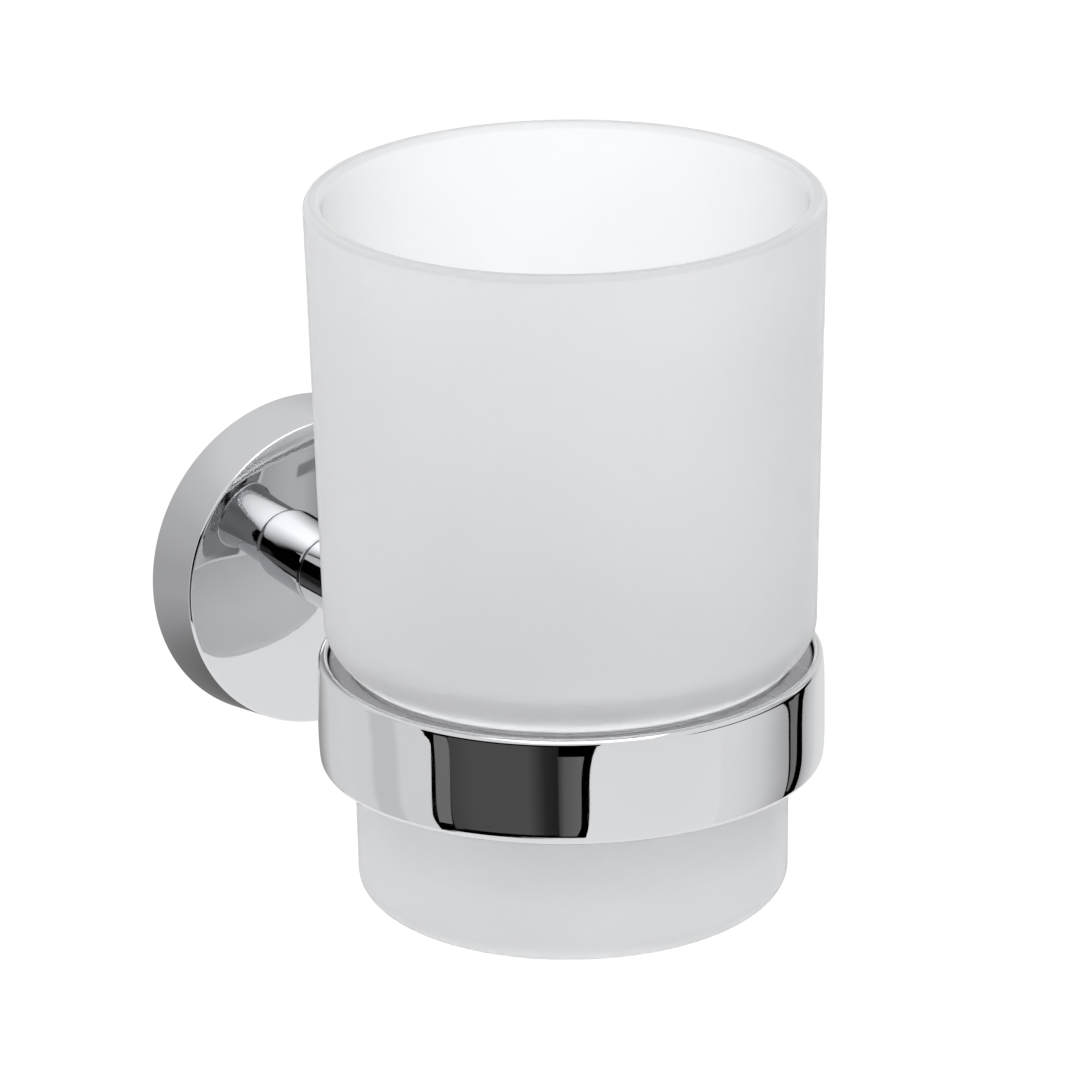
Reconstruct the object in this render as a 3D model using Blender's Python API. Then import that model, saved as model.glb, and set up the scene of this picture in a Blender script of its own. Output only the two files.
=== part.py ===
"""Wall-mounted tumbler holder: a frosted glass cup in a polished ring on a short arm.

Frame: the origin lies on the wall, on the arm's axis. +X runs to the right, -Y away from the wall
and +Z up. Every length is in metres.
"""

import math

import bmesh
import bpy
from mathutils import Matrix, Vector

# General
CLEARANCE = 0.0003
CUT_OVERRUN = 0.002
EDGE_ROUNDING = 0.0005
LARGE_ROUND_SEGMENTS = 64
SMALL_ROUND_SEGMENTS = 32
ARC_STEPS = 6
SMALL_ARC_STEPS = 3
SHARP_ANGLE = math.radians(35.0)

# Place of the cup's axis in front of the wall
AXIS_TO_WALL = 0.070

# Tumbler
TUMBLER_HEIGHT = 0.097
RIM_RADIUS = 0.034
BODY_RADIUS = 0.0325
FOOT_TOP_RADIUS = 0.02895
FOOT_RADIUS = 0.02855
FOOT_HEIGHT = 0.0334
SHOULDER_HEIGHT = 0.0056
BASE_ROUND_WIDTH = 0.0056
BASE_ROUND_HEIGHT = 0.0041
BASE_HOLLOW_RADIUS = 0.0185
BASE_HOLLOW_SLOPE = 0.0015
BASE_HOLLOW_DEPTH = 0.0006
RIM_WALL = 0.0024
BODY_WALL = 0.0028
FOOT_WALL = 0.0031
FLOOR_THICKNESS = 0.0055
FLOOR_ROUND_WIDTH = 0.0065
FLOOR_ROUND_HEIGHT = 0.0055

# Seat liner
LINER_FIT = 0.0004
LINER_WALL = 0.00245
LINER_LEDGE_DEPTH = 0.0006

# Ring band
RING_HEIGHT = 0.0145
RING_WALL = 0.0014
RING_LIP_THICKNESS = 0.0014

# Ring screw
RING_SCREW_HEAD_RADIUS = 0.0035
RING_SCREW_HEAD_HEIGHT = 0.0011
RING_SCREW_LENGTH = 0.0075
RING_SCREW_SOCKET_RADIUS = 0.0013
RING_SCREW_SOCKET_DEPTH = 0.0008

# Stem between the ring and the sleeve
FLANGE_RADIUS = 0.0052
FLANGE_EDGE = 0.0006
FLARE_LENGTH = 0.0065
NECK_RADIUS = 0.0045
NECK_END_RADIUS = 0.0046
SPIGOT_RADIUS = 0.0034
SPIGOT_LENGTH = 0.006

# Sleeve
SLEEVE_RADIUS = 0.0052
SLEEVE_LENGTH = 0.0128
SLEEVE_NOSE_LENGTH = 0.002
SLEEVE_FOOT_ROUNDING = 0.0004

# Rosette
ROSETTE_DEPTH = 0.0091
ROSETTE_FACE_RADIUS = 0.0220
ROSETTE_WALL_RADIUS = 0.02305
ROSETTE_FACE_THICKNESS = 0.002

# Arm bolt and its washer
ARM_BOLT_RADIUS = 0.002
ARM_BOLT_LENGTH = 0.021
ARM_BOLT_HEAD_RADIUS = 0.0035
ARM_BOLT_HEAD_HEIGHT = 0.0024
ARM_BOLT_SOCKET_RADIUS = 0.0014
ARM_BOLT_SOCKET_DEPTH = 0.0013
WASHER_RADIUS = 0.0045
WASHER_THICKNESS = 0.0008

# Wall bracket
BRACKET_RADIUS = 0.0200
BRACKET_PLATE_THICKNESS = 0.0022
BRACKET_RIM_WALL = 0.0015
BRACKET_HOLE_RADIUS = 0.0022
BRACKET_COUNTERSINK_RADIUS = 0.0038
BRACKET_COUNTERSINK_DEPTH = 0.0014
BRACKET_HOLE_SPACING = 0.0230

# Grub screw
GRUB_RADIUS = 0.0015
GRUB_LENGTH = 0.004
GRUB_RECESS = 0.0003
GRUB_CHAMFER = 0.0004
GRUB_SOCKET_RADIUS = 0.0009
GRUB_SOCKET_DEPTH = 0.0014

# Ring and liner, worked out from the foot of the glass
LINER_INNER_RADIUS = FOOT_TOP_RADIUS + LINER_FIT
LINER_OUTER_RADIUS = LINER_INNER_RADIUS + LINER_WALL
RING_INNER_RADIUS = LINER_OUTER_RADIUS + CLEARANCE
RING_OUTER_RADIUS = RING_INNER_RADIUS + RING_WALL
RING_TOP = RING_HEIGHT / 2
RING_BOTTOM = -RING_HEIGHT / 2
LINER_TOP = RING_TOP - LINER_LEDGE_DEPTH
LINER_BOTTOM = RING_BOTTOM + RING_LIP_THICKNESS + CLEARANCE

# The shoulder rests on the liner's top edge, which sets the height of the glass
SHOULDER_STEP = BODY_RADIUS - FOOT_TOP_RADIUS
SHOULDER_TOP = FOOT_HEIGHT + SHOULDER_HEIGHT
SEAT_SHARE = math.sqrt((BODY_RADIUS - LINER_INNER_RADIUS) / SHOULDER_STEP)
SEAT_HEIGHT = SHOULDER_TOP - SHOULDER_HEIGHT * SEAT_SHARE
TUMBLER_BOTTOM = LINER_TOP + CLEARANCE - SEAT_HEIGHT

# Depths behind the cup, measured from the wall
RING_BACK = AXIS_TO_WALL - RING_OUTER_RADIUS
SLEEVE_FOOT = ROSETTE_DEPTH + CLEARANCE
SLEEVE_NOSE = SLEEVE_FOOT + SLEEVE_LENGTH
NECK_FOOT = SLEEVE_NOSE + CLEARANCE
THREAD_HOLE_RADIUS = ARM_BOLT_RADIUS + CLEARANCE
SLEEVE_BORE_RADIUS = SPIGOT_RADIUS + CLEARANCE
ROSETTE_INNER_RADIUS = BRACKET_RADIUS + CLEARANCE
ROSETTE_INNER_FACE = ROSETTE_DEPTH - ROSETTE_FACE_THICKNESS
BRACKET_DEPTH = ROSETTE_INNER_FACE - CLEARANCE
GRUB_DEPTH = (BRACKET_PLATE_THICKNESS + BRACKET_DEPTH) / 2

# Colours, roughness and metallic values of the finishes
FINISHES = {
    "frosted_glass": ((0.86, 0.87, 0.88, 1.0), 0.55, 0.0),
    "chrome": ((0.80, 0.80, 0.82, 1.0), 0.05, 1.0),
    "liner_plastic": ((0.42, 0.42, 0.43, 1.0), 0.35, 0.0),
    "plated_steel": ((0.55, 0.56, 0.57, 1.0), 0.45, 1.0),
    "screw_steel": ((0.48, 0.48, 0.50, 1.0), 0.30, 1.0),
}

AXIS_UP = Matrix.Identity(4)
AXIS_TO_FRONT = Matrix.Rotation(math.radians(90.0), 4, "X")
AXIS_TO_BACK = Matrix.Rotation(math.radians(-90.0), 4, "X")
AXIS_DOWN = Matrix.Rotation(math.radians(180.0), 4, "X")


def clear_scene():
    """Take every object out of the file."""
    for item in list(bpy.data.objects):
        bpy.data.objects.remove(item, do_unlink=True)


def finish_material(finish):
    """Return the named finish as a Principled material, made once."""
    existing = bpy.data.materials.get(finish)
    if existing:
        return existing
    color, roughness, metallic = FINISHES[finish]
    material = bpy.data.materials.new(finish)
    material.use_nodes = True
    shader = material.node_tree.nodes["Principled BSDF"]
    shader.inputs["Base Color"].default_value = color
    shader.inputs["Roughness"].default_value = roughness
    shader.inputs["Metallic"].default_value = metallic
    return material


def arc(center, radii, start, end, steps):
    """Points of an elliptical arc in the profile plane, from one angle to the other in degrees."""
    points = []
    for step in range(steps + 1):
        angle = math.radians(start + (end - start) * step / steps)
        points.append((center[0] + radii[0] * math.cos(angle), center[1] + radii[1] * math.sin(angle)))
    return points


def eased(low, high, steps):
    """Points of a smooth S-shaped passage between two profile points, ends included."""
    points = []
    for step in range(steps + 1):
        share = step / steps
        blend = (1.0 - math.cos(math.pi * share)) / 2
        points.append((low[0] + (high[0] - low[0]) * blend, low[1] + (high[1] - low[1]) * share))
    return points


def turned_mesh(name, profile, segments, closed):
    """Spin a profile of (radius, height) points about Z. An open profile starts and ends on the axis."""
    mesh = bmesh.new()
    verts = [mesh.verts.new((radius, 0.0, height)) for radius, height in profile]
    edges = [mesh.edges.new(pair) for pair in zip(verts, verts[1:])]
    if closed:
        edges.append(mesh.edges.new((verts[-1], verts[0])))
    bmesh.ops.spin(
        mesh,
        geom=verts + edges,
        cent=Vector(),
        axis=Vector((0.0, 0.0, 1.0)),
        angle=2 * math.pi,
        steps=segments,
        use_merge=True,
        use_normal_flip=False,
        use_duplicate=False,
    )
    bmesh.ops.remove_doubles(mesh, verts=mesh.verts, dist=CLEARANCE / 100)
    bmesh.ops.recalc_face_normals(mesh, faces=mesh.faces)
    data = bpy.data.meshes.new(name)
    mesh.to_mesh(data)
    mesh.free()
    return data


def turned(name, profile, finish, location, axis=AXIS_UP, segments=LARGE_ROUND_SEGMENTS, closed=True):
    """Make a turned sub-part whose own Z axis is laid along the given axis at the location."""
    data = turned_mesh(name, profile, segments, closed)
    data.shade_smooth()
    data.set_sharp_from_angle(angle=SHARP_ANGLE)
    data.materials.append(finish_material(finish))
    part = bpy.data.objects.new(name, data)
    part.matrix_world = Matrix.Translation(location) @ axis
    bpy.context.scene.collection.objects.link(part)
    return part


def cutter(name, profile, location, axis, segments=SMALL_ROUND_SEGMENTS):
    """Make a turned cutting tool that isn't part of the product.

    It is turned by half a facet, which keeps its corners off the edges of the part it cuts.
    """
    data = turned_mesh(name, profile, segments, closed=False)
    tool = bpy.data.objects.new(name, data)
    half_facet = Matrix.Rotation(math.pi / segments, 4, "Z")
    tool.matrix_world = Matrix.Translation(location) @ axis @ half_facet
    tool.display_type = "WIRE"
    tool.hide_render = True
    bpy.context.scene.collection.objects.link(tool)
    return tool


def cut(part, tool):
    """Take the tool's shape out of the part."""
    modifier = part.modifiers.new("cut_" + tool.name, "BOOLEAN")
    modifier.operation = "DIFFERENCE"
    modifier.solver = "EXACT"
    modifier.object = tool


def rod_profile(radius, start, end):
    """Open profile of a plain round rod between two heights."""
    return [(0.0, start), (radius, start), (radius, end), (0.0, end)]


def cup_axis_point(height):
    """Point on the axis of the cup at a height above the arm."""
    return Vector((0.0, -AXIS_TO_WALL, height))


def arm_point(depth):
    """Point on the axis of the arm at a distance from the wall."""
    return Vector((0.0, -depth, 0.0))


def tumbler_outside():
    """Outer profile of the glass from the middle of its base up to the rim."""
    flat_radius = FOOT_RADIUS - BASE_ROUND_WIDTH
    points = [
        (0.0, BASE_HOLLOW_DEPTH),
        (BASE_HOLLOW_RADIUS, BASE_HOLLOW_DEPTH),
        (BASE_HOLLOW_RADIUS + BASE_HOLLOW_SLOPE, 0.0),
    ]
    points += arc(
        (flat_radius, BASE_ROUND_HEIGHT), (BASE_ROUND_WIDTH, BASE_ROUND_HEIGHT), -90.0, 0.0, ARC_STEPS
    )
    for step in range(ARC_STEPS + 1):
        share = 1.0 - step / ARC_STEPS
        radius = BODY_RADIUS - SHOULDER_STEP * share**2
        points.append((radius, SHOULDER_TOP - SHOULDER_HEIGHT * share))
    return points


def tumbler_rim():
    """Rounded lip from the outer wall over to the inner wall."""
    lip = RIM_WALL / 2
    return arc((RIM_RADIUS - lip, TUMBLER_HEIGHT - lip), (lip, lip), 0.0, 180.0, ARC_STEPS)


def tumbler_inside():
    """Inner profile of the glass from under the rim down to the middle of the floor."""
    foot_radius = FOOT_RADIUS - FOOT_WALL
    shoulder = eased((foot_radius, FOOT_HEIGHT), (BODY_RADIUS - BODY_WALL, SHOULDER_TOP), ARC_STEPS)
    floor_center = (foot_radius - FLOOR_ROUND_WIDTH, FLOOR_THICKNESS + FLOOR_ROUND_HEIGHT)
    floor_round = arc(floor_center, (FLOOR_ROUND_WIDTH, FLOOR_ROUND_HEIGHT), 0.0, -90.0, ARC_STEPS)
    return shoulder[::-1] + floor_round + [(0.0, FLOOR_THICKNESS)]


def make_tumbler():
    """Frosted glass cup that hangs by its shoulder and lifts straight out."""
    profile = tumbler_outside() + tumbler_rim() + tumbler_inside()
    turned("tumbler", profile, "frosted_glass", cup_axis_point(TUMBLER_BOTTOM), closed=False)


def rounded_ring_profile(inner, outer, bottom, top, rounding):
    """Closed profile of a ring with all four edges rounded."""
    corners = [
        ((outer - rounding, bottom + rounding), -90.0),
        ((outer - rounding, top - rounding), 0.0),
        ((inner + rounding, top - rounding), 90.0),
        ((inner + rounding, bottom + rounding), 180.0),
    ]
    points = []
    for center, start in corners:
        points += arc(center, (rounding, rounding), start, start + 90.0, SMALL_ARC_STEPS)
    return points


def make_seat_liner():
    """Plastic ring that keeps the glass off the metal and carries its shoulder."""
    profile = rounded_ring_profile(
        LINER_INNER_RADIUS, LINER_OUTER_RADIUS, LINER_BOTTOM, LINER_TOP, EDGE_ROUNDING
    )
    turned("seat_liner", profile, "liner_plastic", cup_axis_point(0.0))


def ring_profile():
    """Closed section of the ring: a thin band with an inward lip under the liner."""
    rounding = EDGE_ROUNDING
    lip_radius = LINER_INNER_RADIUS
    lip_top = RING_BOTTOM + RING_LIP_THICKNESS
    corners = [
        ((RING_OUTER_RADIUS - rounding, RING_BOTTOM + rounding), -90.0),
        ((RING_OUTER_RADIUS - rounding, RING_TOP - rounding), 0.0),
        ((RING_INNER_RADIUS + rounding, RING_TOP - rounding), 90.0),
    ]
    points = []
    for center, start in corners:
        points += arc(center, (rounding, rounding), start, start + 90.0, SMALL_ARC_STEPS)
    points.append((RING_INNER_RADIUS, lip_top))
    points.append((lip_radius, lip_top))
    points += arc(
        (lip_radius + rounding, RING_BOTTOM + rounding), (rounding, rounding), 180.0, 270.0, SMALL_ARC_STEPS
    )
    return points


def ring_screw_hole():
    """Cutting tool for the countersunk hole through the back of the ring."""
    head_gap_radius = RING_SCREW_HEAD_RADIUS + CLEARANCE
    profile = [
        (0.0, -CUT_OVERRUN),
        (head_gap_radius, -CUT_OVERRUN),
        (head_gap_radius, 0.0),
        (THREAD_HOLE_RADIUS, RING_SCREW_HEAD_HEIGHT),
        (THREAD_HOLE_RADIUS, RING_WALL + CUT_OVERRUN),
        (0.0, RING_WALL + CUT_OVERRUN),
    ]
    inner_back = AXIS_TO_WALL - RING_INNER_RADIUS
    return cutter("ring_screw_hole", profile, arm_point(inner_back), AXIS_TO_BACK)


def make_ring_band():
    """Polished ring round the foot of the glass."""
    ring = turned("ring_band", ring_profile(), "chrome", cup_axis_point(0.0))
    cut(ring, ring_screw_hole())


def make_ring_screw():
    """Countersunk screw from inside the ring into the stem."""
    profile = [
        (0.0, RING_SCREW_SOCKET_DEPTH),
        (RING_SCREW_SOCKET_RADIUS, RING_SCREW_SOCKET_DEPTH),
        (RING_SCREW_SOCKET_RADIUS, 0.0),
        (RING_SCREW_HEAD_RADIUS, 0.0),
        (ARM_BOLT_RADIUS, RING_SCREW_HEAD_HEIGHT),
        (ARM_BOLT_RADIUS, RING_SCREW_LENGTH - EDGE_ROUNDING),
        (ARM_BOLT_RADIUS - EDGE_ROUNDING, RING_SCREW_LENGTH),
        (0.0, RING_SCREW_LENGTH),
    ]
    inner_back = AXIS_TO_WALL - RING_INNER_RADIUS
    turned(
        "ring_screw",
        profile,
        "screw_steel",
        arm_point(inner_back),
        AXIS_TO_BACK,
        SMALL_ROUND_SEGMENTS,
        closed=False,
    )


def stem_profile():
    """Closed section of the stem, its height measured from the wall: spigot, neck, flare and flange."""
    blank_end = RING_BACK + CUT_OVERRUN
    flare_end = RING_BACK - FLANGE_EDGE
    flare_start = flare_end - FLARE_LENGTH
    points = [
        (THREAD_HOLE_RADIUS, NECK_FOOT - SPIGOT_LENGTH),
        (SPIGOT_RADIUS, NECK_FOOT - SPIGOT_LENGTH),
        (SPIGOT_RADIUS, NECK_FOOT),
        (NECK_END_RADIUS, NECK_FOOT),
        (NECK_RADIUS, flare_start),
    ]
    flare_height = FLANGE_RADIUS - NECK_RADIUS
    flare = arc((FLANGE_RADIUS, flare_start), (flare_height, FLARE_LENGTH), 180.0, 90.0, ARC_STEPS)
    points += flare[1:]
    points += [(FLANGE_RADIUS, blank_end), (THREAD_HOLE_RADIUS, blank_end)]
    return points


def make_ring_stem():
    """Turned neck behind the ring, its front end hollowed to sit against the band."""
    stem = turned(
        "ring_stem", stem_profile(), "chrome", arm_point(0.0), AXIS_TO_FRONT, SMALL_ROUND_SEGMENTS
    )
    saddle = rod_profile(RING_OUTER_RADIUS + CLEARANCE, -RING_HEIGHT, RING_HEIGHT)
    tool = cutter("ring_saddle", saddle, cup_axis_point(0.0), AXIS_UP, LARGE_ROUND_SEGMENTS)
    cut(stem, tool)


def make_arm_sleeve():
    """Plain tube clamped between the rosette and the stem, both its ends rounded."""
    nose_start = SLEEVE_NOSE - SLEEVE_NOSE_LENGTH
    nose_drop = SLEEVE_RADIUS - NECK_END_RADIUS
    rounding = SLEEVE_FOOT_ROUNDING
    foot_center = (SLEEVE_RADIUS - rounding, SLEEVE_FOOT + rounding)
    profile = [(SLEEVE_BORE_RADIUS, SLEEVE_FOOT)]
    profile += arc(foot_center, (rounding, rounding), -90.0, 0.0, ARC_STEPS)
    profile += arc((NECK_END_RADIUS, nose_start), (nose_drop, SLEEVE_NOSE_LENGTH), 0.0, 90.0, ARC_STEPS)
    profile.append((SLEEVE_BORE_RADIUS, SLEEVE_NOSE))
    turned("arm_sleeve", profile, "chrome", arm_point(0.0), AXIS_TO_FRONT, SMALL_ROUND_SEGMENTS)


def rosette_profile():
    """Closed section of the rosette: a cup with a tapered side and a hole for the bolt."""
    taper = (ROSETTE_WALL_RADIUS - ROSETTE_FACE_RADIUS) / ROSETTE_DEPTH
    edge_start = ROSETTE_DEPTH - EDGE_ROUNDING
    edge_radius = ROSETTE_FACE_RADIUS + taper * EDGE_ROUNDING
    edge = arc((edge_radius - EDGE_ROUNDING, edge_start), (EDGE_ROUNDING, EDGE_ROUNDING), 0.0, 90.0, ARC_STEPS)
    points = [(ROSETTE_INNER_RADIUS, 0.0), (ROSETTE_WALL_RADIUS, 0.0)]
    points += edge
    points += [
        (THREAD_HOLE_RADIUS, ROSETTE_DEPTH),
        (THREAD_HOLE_RADIUS, ROSETTE_INNER_FACE),
        (ROSETTE_INNER_RADIUS, ROSETTE_INNER_FACE),
    ]
    return points


def make_rosette():
    """Polished wall cover that carries the arm."""
    rosette = turned("rosette", rosette_profile(), "chrome", arm_point(0.0), AXIS_TO_FRONT)
    hole = rod_profile(GRUB_RADIUS + CLEARANCE, BRACKET_RADIUS - BRACKET_RIM_WALL, ROSETTE_WALL_RADIUS)
    hole[-2:] = [(radius, height + CUT_OVERRUN) for radius, height in hole[-2:]]
    tool = cutter("rosette_grub_hole", hole, arm_point(GRUB_DEPTH), AXIS_DOWN)
    cut(rosette, tool)


def make_arm_bolt():
    """Long screw from inside the rosette through the sleeve into the stem."""
    seat = ROSETTE_INNER_FACE - CLEARANCE - WASHER_THICKNESS - CLEARANCE
    head_back = seat - ARM_BOLT_HEAD_HEIGHT
    tip = seat + ARM_BOLT_LENGTH
    profile = [
        (0.0, head_back + ARM_BOLT_SOCKET_DEPTH),
        (ARM_BOLT_SOCKET_RADIUS, head_back + ARM_BOLT_SOCKET_DEPTH),
        (ARM_BOLT_SOCKET_RADIUS, head_back),
        (ARM_BOLT_HEAD_RADIUS - EDGE_ROUNDING, head_back),
        (ARM_BOLT_HEAD_RADIUS, head_back + EDGE_ROUNDING),
        (ARM_BOLT_HEAD_RADIUS, seat),
        (ARM_BOLT_RADIUS, seat),
        (ARM_BOLT_RADIUS, tip - EDGE_ROUNDING),
        (ARM_BOLT_RADIUS - EDGE_ROUNDING, tip),
        (0.0, tip),
    ]
    turned(
        "arm_bolt",
        profile,
        "screw_steel",
        arm_point(0.0),
        AXIS_TO_FRONT,
        SMALL_ROUND_SEGMENTS,
        closed=False,
    )


def make_lock_washer():
    """Flat washer under the bolt's head."""
    front = ROSETTE_INNER_FACE - CLEARANCE
    back = front - WASHER_THICKNESS
    profile = [
        (THREAD_HOLE_RADIUS, back),
        (WASHER_RADIUS, back),
        (WASHER_RADIUS, front),
        (THREAD_HOLE_RADIUS, front),
    ]
    turned("lock_washer", profile, "screw_steel", arm_point(0.0), AXIS_TO_FRONT, SMALL_ROUND_SEGMENTS)


def bracket_profile():
    """Open section of the bracket: a flat plate with a rim standing off the wall."""
    rim_inner = BRACKET_RADIUS - BRACKET_RIM_WALL
    return [
        (0.0, 0.0),
        (BRACKET_RADIUS, 0.0),
        (BRACKET_RADIUS, BRACKET_DEPTH - EDGE_ROUNDING),
        (BRACKET_RADIUS - EDGE_ROUNDING, BRACKET_DEPTH),
        (rim_inner, BRACKET_DEPTH),
        (rim_inner, BRACKET_PLATE_THICKNESS),
        (0.0, BRACKET_PLATE_THICKNESS),
    ]


def bracket_screw_hole(side):
    """Cutting tool for one wall screw hole, its countersink carried on in front of the plate."""
    countersink_start = BRACKET_PLATE_THICKNESS - BRACKET_COUNTERSINK_DEPTH
    slope = (BRACKET_COUNTERSINK_RADIUS - BRACKET_HOLE_RADIUS) / BRACKET_COUNTERSINK_DEPTH
    profile = [
        (0.0, -CUT_OVERRUN),
        (BRACKET_HOLE_RADIUS, -CUT_OVERRUN),
        (BRACKET_HOLE_RADIUS, countersink_start),
        (BRACKET_COUNTERSINK_RADIUS + slope * CUT_OVERRUN, BRACKET_PLATE_THICKNESS + CUT_OVERRUN),
        (0.0, BRACKET_PLATE_THICKNESS + CUT_OVERRUN),
    ]
    center = Vector((side * BRACKET_HOLE_SPACING / 2, 0.0, 0.0))
    name = "bracket_hole_left" if side < 0 else "bracket_hole_right"
    return cutter(name, profile, center, AXIS_TO_FRONT)


def make_wall_bracket():
    """Dished plate that stays on the wall and carries the rosette."""
    bracket = turned(
        "wall_bracket", bracket_profile(), "plated_steel", arm_point(0.0), AXIS_TO_FRONT, closed=False
    )
    for side in (-1, 1):
        cut(bracket, bracket_screw_hole(side))
    rim_inner = BRACKET_RADIUS - BRACKET_RIM_WALL
    hole = rod_profile(GRUB_RADIUS + CLEARANCE, rim_inner - CUT_OVERRUN, BRACKET_RADIUS + CUT_OVERRUN)
    cut(bracket, cutter("bracket_grub_hole", hole, arm_point(GRUB_DEPTH), AXIS_DOWN))


def make_grub_screw():
    """Socket set screw in the underside of the rosette, its tip in the bracket's rim."""
    taper = (ROSETTE_WALL_RADIUS - ROSETTE_FACE_RADIUS) / ROSETTE_DEPTH
    outer_end = ROSETTE_WALL_RADIUS - taper * (GRUB_DEPTH + GRUB_RADIUS) - GRUB_RECESS
    tip = outer_end - GRUB_LENGTH
    profile = [
        (0.0, tip),
        (GRUB_RADIUS - GRUB_CHAMFER, tip),
        (GRUB_RADIUS, tip + GRUB_CHAMFER),
        (GRUB_RADIUS, outer_end),
        (GRUB_SOCKET_RADIUS, outer_end),
        (GRUB_SOCKET_RADIUS, outer_end - GRUB_SOCKET_DEPTH),
        (0.0, outer_end - GRUB_SOCKET_DEPTH),
    ]
    turned(
        "grub_screw",
        profile,
        "screw_steel",
        arm_point(GRUB_DEPTH),
        AXIS_DOWN,
        SMALL_ROUND_SEGMENTS,
        closed=False,
    )


def main():
    """Build every sub-part of the holder."""
    clear_scene()
    make_tumbler()
    make_seat_liner()
    make_ring_band()
    make_ring_screw()
    make_ring_stem()
    make_arm_sleeve()
    make_rosette()
    make_arm_bolt()
    make_lock_washer()
    make_wall_bracket()
    make_grub_screw()


main()
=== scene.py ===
"""Looks of the wall-mounted toothbrush holder, laid out as a Blender add-on.

Every length is in metres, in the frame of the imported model: the origin lies on the wall on the
arm's axis, -Y points away from the wall and +Z up. Profiles are lists of (radius, height) points.
"""

import math

import bmesh
import bpy
from bpy.props import FloatProperty, FloatVectorProperty, IntProperty, PointerProperty
from mathutils import Matrix, Vector


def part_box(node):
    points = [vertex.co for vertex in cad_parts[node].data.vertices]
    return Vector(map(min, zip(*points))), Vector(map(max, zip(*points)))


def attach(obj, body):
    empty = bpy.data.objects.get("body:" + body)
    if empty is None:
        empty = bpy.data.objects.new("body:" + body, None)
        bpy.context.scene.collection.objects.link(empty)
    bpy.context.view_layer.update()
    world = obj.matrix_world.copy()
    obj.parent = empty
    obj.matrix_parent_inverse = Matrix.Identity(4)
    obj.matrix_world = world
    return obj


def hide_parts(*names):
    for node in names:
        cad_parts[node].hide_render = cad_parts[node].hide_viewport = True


bl_info = {
    "name": "Glass toothbrush holder",
    "version": (1, 0, 0),
    "blender": (4, 5, 0),
    "location": "View3D > Sidebar > Holder",
    "description": "Dresses the toothbrush holder's parts and sets up its stage",
    "category": "Object",
}

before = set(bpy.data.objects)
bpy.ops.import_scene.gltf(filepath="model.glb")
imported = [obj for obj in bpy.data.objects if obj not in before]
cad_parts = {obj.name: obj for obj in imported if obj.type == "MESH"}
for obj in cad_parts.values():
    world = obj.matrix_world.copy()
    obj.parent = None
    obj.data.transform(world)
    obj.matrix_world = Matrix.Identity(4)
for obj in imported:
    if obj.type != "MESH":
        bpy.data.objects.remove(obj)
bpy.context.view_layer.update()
TUMBLER_LOW, TUMBLER_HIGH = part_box("tumbler")
RING_LOW, RING_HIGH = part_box("ring_band")
LINER_LOW, LINER_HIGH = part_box("seat_liner")
SLEEVE_LOW, SLEEVE_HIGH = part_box("arm_sleeve")
STEM_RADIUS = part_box("ring_stem")[1].x
ROSETTE_LOW, ROSETTE_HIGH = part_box("rosette")
BRACKET_LOW, BRACKET_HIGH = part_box("wall_bracket")
GRUB_LOW, GRUB_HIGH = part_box("grub_screw")

AXIS_TO_WALL = -(TUMBLER_LOW.y + TUMBLER_HIGH.y) / 2
CUP_AXIS = Matrix.Translation((0.0, -AXIS_TO_WALL, 0.0))
ARM_AXIS = Matrix.Rotation(math.radians(90.0), 4, "X")
GRUB_AXIS = Matrix.Translation((0.0, (GRUB_LOW.y + GRUB_HIGH.y) / 2, 0.0))

# Gap between pieces that touch, and how far a cutting tool reaches past its piece.
TOUCH_GAP = 0.00005
CUT_OVERRUN = 0.002
# Distance of the points that keep a straight stretch's shading flat, and flat edge before a slope.
HOLD = 0.00006
FLAT_EDGE = 0.0002
# Points closer than this are one.
MERGE_DISTANCE = HOLD / 50
# Where the stem ends at the ring.
STEM_END = AXIS_TO_WALL - RING_HIGH.x - TOUCH_GAP


# Shapes


def shares(steps):
    """Even steps from 0 to 1, ends included."""
    return [step / steps for step in range(steps + 1)]


def arc(center, radii, start, end, steps):
    """Points of an elliptical arc, from one angle to the other in degrees."""
    angles = [math.radians(start + (end - start) * share) for share in shares(steps)]
    (x, y), (width, height) = center, radii
    return [(x + width * math.cos(angle), y + height * math.sin(angle)) for angle in angles]


def rounded(center, radius, start, end, steps):
    """Points of a round arc, from one angle to the other in degrees."""
    return arc(center, (radius, radius), start, end, steps)


def eased(low, high, steps):
    """Points of a smooth S-shaped passage between two points, ends included."""
    points = []
    for share in shares(steps):
        blend = (1.0 - math.cos(math.pi * share)) / 2
        points.append((low[0] + (high[0] - low[0]) * blend, low[1] + (high[1] - low[1]) * share))
    return points


def held(profile, closed):
    """Add a point close to both ends of every long straight stretch, which keeps its shading flat."""
    ends = list(zip(profile, profile[1:]))
    if closed:
        ends.append((profile[-1], profile[0]))
    points = []
    for start, end in ends:
        points.append(start)
        span = math.dist(start, end)
        if span > 4 * HOLD:
            for share in (HOLD / span, 1.0 - HOLD / span):
                points.append(tuple(a + (b - a) * share for a, b in zip(start, end)))
    if not closed:
        points.append(profile[-1])
    return points


def linked(name, data):
    """Put a mesh, a lamp or a camera into the scene as an object."""
    piece = bpy.data.objects.new(name, data)
    bpy.context.scene.collection.objects.link(piece)
    return piece


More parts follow.
